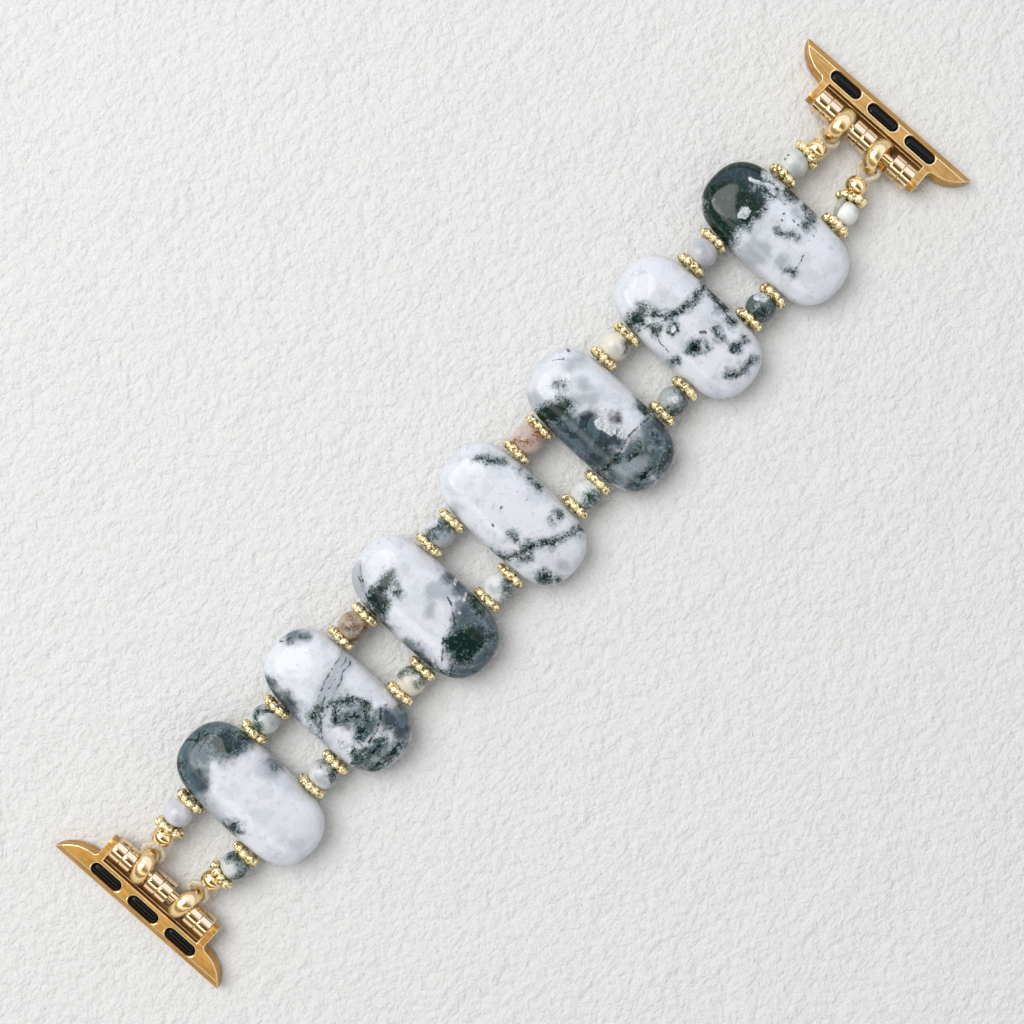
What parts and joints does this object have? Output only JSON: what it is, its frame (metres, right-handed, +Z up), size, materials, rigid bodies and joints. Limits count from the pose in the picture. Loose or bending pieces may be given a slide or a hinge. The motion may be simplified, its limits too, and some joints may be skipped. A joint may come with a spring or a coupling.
{
  "type": "bead watch band",
  "caption": "Elastic bead watch band: pillow stone bars on two cords, granulated spacers, round beads, rings and pinned slot connectors for the watch case.",
  "frame": {"origin": "on the surface that the band lies on, under the middle of the middle bar", "axes": "+X along the band to its upper end, +Y across it, +Z up out of its decorated face"},
  "size_m": [0.175, 0.0346, 0.0072],
  "materials": {
    "bar_stone": "polished mottled agate",
    "bead_stone": "polished agate",
    "white_bead": "polished crystalline",
    "granulated_metal": "antique gold",
    "polished_metal": "polished gold",
    "sleeve_metal": "mirror rose gold",
    "satin_metal": "satin gold",
    "black_rubber": "matte",
    "clear_cord": "clear"
  },
  "bodies": {
    "link_1": {"stone_bar_1": "bar_stone", "granule_spacers_1": "granulated_metal", "lower_bar_cords": "clear_cord"},
    "link_2": {"stone_bar_2": "bar_stone", "granule_spacers_2": "granulated_metal"},
    "link_3": {"stone_bar_3": "bar_stone", "granule_spacers_3": "granulated_metal"},
    "link_4": {"stone_bar_4": "bar_stone", "granule_spacers_4": "granulated_metal"},
    "link_5": {"stone_bar_5": "bar_stone", "granule_spacers_5": "granulated_metal"},
    "link_6": {"stone_bar_6": "bar_stone", "granule_spacers_6": "granulated_metal"},
    "link_7": {"stone_bar_7": "bar_stone", "granule_spacers_7": "granulated_metal", "upper_bar_cords": "clear_cord"},
    "gap_1": {"gap_cord_1": "clear_cord"},
    "bead_1a": {"round_bead_1a": "bead_stone"},
    "bead_1b": {"round_bead_1b": "bead_stone"},
    "gap_2": {"gap_cord_2": "clear_cord"},
    "bead_2a": {"round_bead_2a": "bead_stone"},
    "bead_2b": {"round_bead_2b": "bead_stone"},
    "gap_3": {"gap_cord_3": "clear_cord"},
    "bead_3a": {"round_bead_3a": "bead_stone"},
    "bead_3b": {"round_bead_3b": "bead_stone"},
    "gap_4": {"gap_cord_4": "clear_cord"},
    "bead_4a": {"round_bead_4a": "bead_stone"},
    "bead_4b": {"round_bead_4b": "bead_stone"},
    "gap_5": {"gap_cord_5": "clear_cord"},
    "bead_5a": {"round_bead_5a": "bead_stone"},
    "bead_5b": {"round_bead_5b": "bead_stone"},
    "gap_6": {"gap_cord_6": "clear_cord"},
    "bead_6a": {"round_bead_6a": "bead_stone"},
    "bead_6b": {"round_bead_6b": "bead_stone"},
    "lower_strands": {"lower_strand_cords": "clear_cord", "lower_tilted_spacers": "granulated_metal", "lower_gold_beads": "polished_metal"},
    "lower_end_bead_a": {"lower_end_bead_a": "bead_stone"},
    "lower_ring_a": {"lower_ring_a": "polished_metal"},
    "lower_end_bead_b": {"lower_end_bead_b": "bead_stone"},
    "lower_ring_b": {"lower_ring_b": "polished_metal"},
    "lower_connector": {"lower_connector": "satin_metal", "lower_pin": "polished_metal", "lower_pads": "black_rubber"},
    "lower_sleeves_1": {"lower_sleeves_1": "sleeve_metal"},
    "lower_sleeves_2": {"lower_sleeves_2": "sleeve_metal"},
    "lower_sleeves_3": {"lower_sleeves_3": "sleeve_metal"},
    "upper_strands": {"upper_strand_cords": "clear_cord", "upper_tilted_spacers": "granulated_metal", "upper_gold_beads": "polished_metal"},
    "upper_end_bead_a": {"upper_end_bead_a": "bead_stone"},
    "upper_ring_a": {"upper_ring_a": "polished_metal"},
    "upper_end_bead_b": {"upper_end_bead_b": "white_bead"},
    "upper_ring_b": {"upper_ring_b": "polished_metal"},
    "upper_connector": {"upper_connector": "satin_metal", "upper_pin": "polished_metal", "upper_pads": "black_rubber"},
    "upper_sleeves_1": {"upper_sleeves_1": "sleeve_metal"},
    "upper_sleeves_2": {"upper_sleeves_2": "sleeve_metal"},
    "upper_sleeves_3": {"upper_sleeves_3": "sleeve_metal"}
  },
  "joints": [
    {"name": "bend_1", "type": "hinge", "parent": "gap_1", "child": "link_1", "pos_m": [-0.04999, 0, 0.0036], "axis": [0, 1, 0], "range_deg": [-40, 40]},
    {"name": "bend_2", "type": "hinge", "parent": "gap_2", "child": "link_2", "pos_m": [-0.02999, 0, 0.0036], "axis": [0, 1, 0], "range_deg": [-40, 40]},
    {"name": "bend_3", "type": "hinge", "parent": "gap_3", "child": "link_3", "pos_m": [-0.01, 0, 0.0036], "axis": [0, 1, 0], "range_deg": [-40, 40]},
    {"name": "bend_4", "type": "hinge", "parent": "gap_4", "child": "link_5", "pos_m": [0.01, 0, 0.0036], "axis": [0, -1, 0], "range_deg": [-40, 40]},
    {"name": "bend_5", "type": "hinge", "parent": "gap_5", "child": "link_6", "pos_m": [0.02999, 0, 0.0036], "axis": [0, -1, 0], "range_deg": [-40, 40]},
    {"name": "bend_6", "type": "hinge", "parent": "gap_6", "child": "link_7", "pos_m": [0.04999, 0, 0.0036], "axis": [0, -1, 0], "range_deg": [-40, 40]},
    {"name": "lower_end_bend", "type": "hinge", "parent": "link_1", "child": "lower_strands", "pos_m": [-0.06991, 0, 0.0036], "axis": [0, 1, 0], "range_deg": [-30, 30]},
    {"name": "upper_end_bend", "type": "hinge", "parent": "link_7", "child": "upper_strands", "pos_m": [0.06991, 0, 0.0036], "axis": [0, -1, 0], "range_deg": [-30, 30]},
    {"name": "lower_ring_a_swing", "type": "hinge", "parent": "lower_strands", "child": "lower_ring_a", "pos_m": [-0.07781, 0, 0.00327], "axis": [-0.0297, 0.9996, 0], "range_deg": [-25, 25]},
    {"name": "lower_ring_b_swing", "type": "hinge", "parent": "lower_strands", "child": "lower_ring_b", "pos_m": [-0.07781, 0, 0.00327], "axis": [-0.0297, 0.9996, 0], "range_deg": [-25, 25]},
    {"name": "lower_connector_swing", "type": "hinge", "parent": "lower_ring_a", "child": "lower_connector", "pos_m": [-0.08048, 0, 0.00267], "axis": [-0.0297, 0.9996, 0], "range_deg": [-45, 35]},
    {"name": "upper_ring_a_swing", "type": "hinge", "parent": "upper_strands", "child": "upper_ring_a", "pos_m": [0.07779, 0, 0.0032], "axis": [0.0297, -0.9996, 0], "range_deg": [-25, 25]},
    {"name": "upper_ring_b_swing", "type": "hinge", "parent": "upper_strands", "child": "upper_ring_b", "pos_m": [0.07779, 0, 0.0032], "axis": [0.0297, -0.9996, 0], "range_deg": [-25, 25]},
    {"name": "upper_connector_swing", "type": "hinge", "parent": "upper_ring_a", "child": "upper_connector", "pos_m": [0.08048, 0, 0.00267], "axis": [0.0297, -0.9996, 0], "range_deg": [-45, 35]},
    {"name": "stretch_1", "type": "slide", "parent": "link_2", "child": "gap_1", "axis": [-1, 0, 0], "range_m": [0, 0.0015]},
    {"name": "stretch_2", "type": "slide", "parent": "link_3", "child": "gap_2", "axis": [-1, 0, 0], "range_m": [0, 0.0015]},
    {"name": "stretch_3", "type": "slide", "parent": "link_4", "child": "gap_3", "axis": [-1, 0, 0], "range_m": [0, 0.0015]},
    {"name": "stretch_4", "type": "slide", "parent": "link_4", "child": "gap_4", "axis": [1, 0, 0], "range_m": [0, 0.0015], "stiffness_N_per_m": 1500},
    {"name": "stretch_5", "type": "slide", "parent": "link_5", "child": "gap_5", "axis": [1, 0, 0], "range_m": [0, 0.0015]},
    {"name": "stretch_6", "type": "slide", "parent": "link_6", "child": "gap_6", "axis": [1, 0, 0], "range_m": [0, 0.0015]},
    {"name": "bead_1a_spin", "type": "hinge", "parent": "gap_1", "child": "bead_1a", "pos_m": [-0.04999, 0.00625, 0.0036], "axis": [1, 0, 0], "continuous": true},
    {"name": "bead_1b_spin", "type": "hinge", "parent": "gap_1", "child": "bead_1b", "pos_m": [-0.04999, -0.00625, 0.0036], "axis": [1, 0, 0], "continuous": true},
    {"name": "bead_2a_spin", "type": "hinge", "parent": "gap_2", "child": "bead_2a", "pos_m": [-0.02999, 0.00625, 0.0036], "axis": [1, 0, 0], "continuous": true},
    {"name": "bead_2b_spin", "type": "hinge", "parent": "gap_2", "child": "bead_2b", "pos_m": [-0.02999, -0.00625, 0.0036], "axis": [1, 0, 0], "continuous": true},
    {"name": "bead_3a_spin", "type": "hinge", "parent": "gap_3", "child": "bead_3a", "pos_m": [-0.01, 0.00625, 0.0036], "axis": [1, 0, 0], "continuous": true},
    {"name": "bead_3b_spin", "type": "hinge", "parent": "gap_3", "child": "bead_3b", "pos_m": [-0.01, -0.00625, 0.0036], "axis": [1, 0, 0], "continuous": true},
    {"name": "bead_4a_spin", "type": "hinge", "parent": "gap_4", "child": "bead_4a", "pos_m": [0.01, 0.00625, 0.0036], "axis": [1, 0, 0], "continuous": true},
    {"name": "bead_4b_spin", "type": "hinge", "parent": "gap_4", "child": "bead_4b", "pos_m": [0.01, -0.00625, 0.0036], "axis": [1, 0, 0], "continuous": true},
    {"name": "bead_5a_spin", "type": "hinge", "parent": "gap_5", "child": "bead_5a", "pos_m": [0.02999, 0.00625, 0.0036], "axis": [1, 0, 0], "continuous": true},
    {"name": "bead_5b_spin", "type": "hinge", "parent": "gap_5", "child": "bead_5b", "pos_m": [0.02999, -0.00625, 0.0036], "axis": [1, 0, 0], "continuous": true},
    {"name": "bead_6a_spin", "type": "hinge", "parent": "gap_6", "child": "bead_6a", "pos_m": [0.04999, 0.00625, 0.0036], "axis": [1, 0, 0], "continuous": true},
    {"name": "bead_6b_spin", "type": "hinge", "parent": "gap_6", "child": "bead_6b", "pos_m": [0.04999, -0.00625, 0.0036], "axis": [1, 0, 0], "continuous": true},
    {"name": "lower_sleeves_1_spin", "type": "hinge", "parent": "lower_connector", "child": "lower_sleeves_1", "pos_m": [-0.08048, 0, 0.00267], "axis": [-0.0297, 0.9996, 0], "continuous": true},
    {"name": "lower_sleeves_2_spin", "type": "hinge", "parent": "lower_connector", "child": "lower_sleeves_2", "pos_m": [-0.08048, 0, 0.00267], "axis": [-0.0297, 0.9996, 0], "continuous": true},
    {"name": "lower_sleeves_3_spin", "type": "hinge", "parent": "lower_connector", "child": "lower_sleeves_3", "pos_m": [-0.08048, 0, 0.00267], "axis": [-0.0297, 0.9996, 0], "continuous": true},
    {"name": "lower_end_bead_a_spin", "type": "hinge", "parent": "lower_strands", "child": "lower_end_bead_a", "pos_m": [-0.06991, -0.00595, 0.0036], "axis": [-0.9683, 0.2443, -0.0512], "continuous": true},
    {"name": "lower_end_bead_b_spin", "type": "hinge", "parent": "lower_strands", "child": "lower_end_bead_b", "pos_m": [-0.06991, 0.00618, 0.0036], "axis": [-0.9837, -0.1726, -0.0496], "continuous": true},
    {"name": "upper_sleeves_1_spin", "type": "hinge", "parent": "upper_connector", "child": "upper_sleeves_1", "pos_m": [0.08048, 0, 0.00267], "axis": [0.0297, -0.9996, 0], "continuous": true},
    {"name": "upper_sleeves_2_spin", "type": "hinge", "parent": "upper_connector", "child": "upper_sleeves_2", "pos_m": [0.08048, 0, 0.00267], "axis": [0.0297, -0.9996, 0], "continuous": true},
    {"name": "upper_sleeves_3_spin", "type": "hinge", "parent": "upper_connector", "child": "upper_sleeves_3", "pos_m": [0.08048, 0, 0.00267], "axis": [0.0297, -0.9996, 0], "continuous": true},
    {"name": "upper_end_bead_a_spin", "type": "hinge", "parent": "upper_strands", "child": "upper_end_bead_a", "pos_m": [0.06991, 0.00539, 0.0036], "axis": [0.9664, -0.2514, -0.0534], "continuous": true},
    {"name": "upper_end_bead_b_spin", "type": "hinge", "parent": "upper_strands", "child": "upper_end_bead_b", "pos_m": [0.06991, -0.00597, 0.0036], "axis": [0.916, 0.3952, -0.0686], "continuous": true}
  ],
  "couplings": [
    {"joint": "lower_ring_b_swing", "follows": "lower_ring_a_swing", "ratio": 1},
    {"joint": "upper_ring_b_swing", "follows": "upper_ring_a_swing", "ratio": 1},
    {"joint": "stretch_1", "follows": "stretch_4", "ratio": 1},
    {"joint": "stretch_2", "follows": "stretch_4", "ratio": 1},
    {"joint": "stretch_3", "follows": "stretch_4", "ratio": 1},
    {"joint": "stretch_5", "follows": "stretch_4", "ratio": 1},
    {"joint": "stretch_6", "follows": "stretch_4", "ratio": 1}
  ]
}
